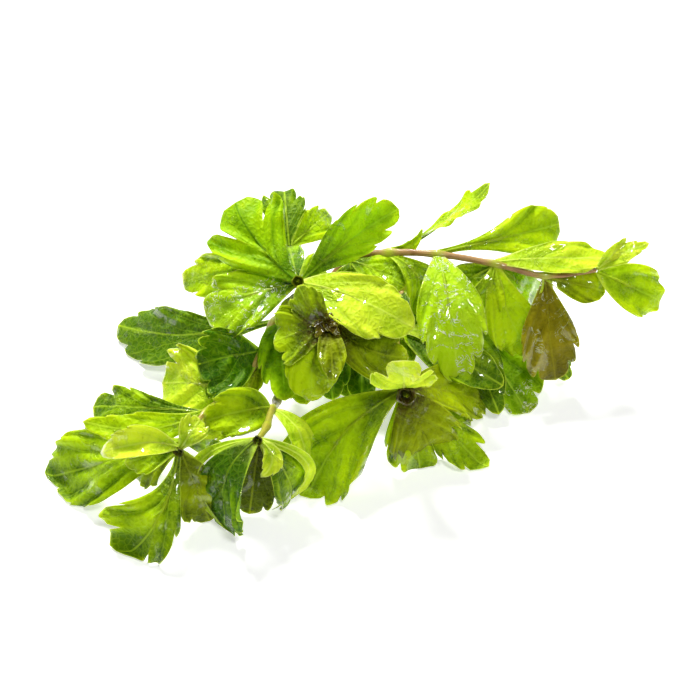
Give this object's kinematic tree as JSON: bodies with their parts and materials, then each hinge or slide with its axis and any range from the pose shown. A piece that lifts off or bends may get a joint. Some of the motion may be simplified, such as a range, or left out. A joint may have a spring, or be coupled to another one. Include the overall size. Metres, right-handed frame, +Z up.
{
  "type": "mexican oak leaf aquarium plant cutting",
  "caption": "Branching cutting of an aquarium plant with lobed, oak-like green leaves in opposite pairs on thin brown stems, lying on a surface.",
  "frame": {"origin": "middle of the plant's footprint on the surface that it lies on", "axes": "+X to the right along the long shoot, +Y to the back, +Z up from the surface"},
  "size_m": [0.2108, 0.1422, 0.0676],
  "materials": {
    "fresh_leaf": "gloss",
    "old_leaf": "gloss",
    "young_leaf": "gloss",
    "stem": "satin"
  },
  "bodies": {
    "root": {"main_stem": "stem", "right_shoot": "stem", "crown_shoot": "stem", "back_shoot": "stem", "centre_shoot": "stem", "front_shoot": "stem", "left_shoot": "stem", "near_shoot": "stem", "right_leaf_1": "fresh_leaf", "right_leaf_2": "fresh_leaf", "right_leaf_3": "fresh_leaf", "right_leaf_4": "fresh_leaf", "right_leaf_5": "fresh_leaf", "right_leaf_6": "young_leaf", "right_leaf_7": "fresh_leaf", "right_leaf_8": "old_leaf", "right_leaf_9": "old_leaf", "right_leaf_10": "fresh_leaf", "right_leaf_11": "young_leaf", "crown_leaf_1": "fresh_leaf", "crown_leaf_2": "fresh_leaf", "crown_leaf_3": "fresh_leaf", "crown_leaf_4": "young_leaf", "back_leaf_1": "fresh_leaf", "back_leaf_2": "fresh_leaf", "back_leaf_3": "fresh_leaf", "centre_leaf_1": "fresh_leaf", "centre_leaf_2": "fresh_leaf", "centre_leaf_3": "fresh_leaf", "centre_leaf_4": "old_leaf", "centre_leaf_5": "old_leaf", "front_leaf_1": "fresh_leaf", "front_leaf_2": "old_leaf", "front_leaf_3": "fresh_leaf", "front_leaf_4": "old_leaf", "front_leaf_5": "young_leaf", "front_leaf_6": "young_leaf", "front_leaf_7": "old_leaf", "low_leaf_1": "fresh_leaf", "low_leaf_2": "fresh_leaf", "left_leaf_1": "fresh_leaf", "left_leaf_2": "fresh_leaf", "left_leaf_3": "fresh_leaf", "left_leaf_4": "old_leaf", "left_leaf_5": "young_leaf", "left_leaf_6": "fresh_leaf", "left_leaf_7": "old_leaf", "left_leaf_8": "fresh_leaf", "left_leaf_9": "fresh_leaf", "left_leaf_10": "young_leaf", "left_leaf_11": "fresh_leaf", "left_leaf_12": "fresh_leaf", "left_leaf_13": "fresh_leaf", "near_leaf_1": "young_leaf", "near_leaf_2": "young_leaf", "near_leaf_3": "fresh_leaf", "near_leaf_4": "old_leaf", "near_leaf_5": "fresh_leaf"}
  },
  "joints": []
}
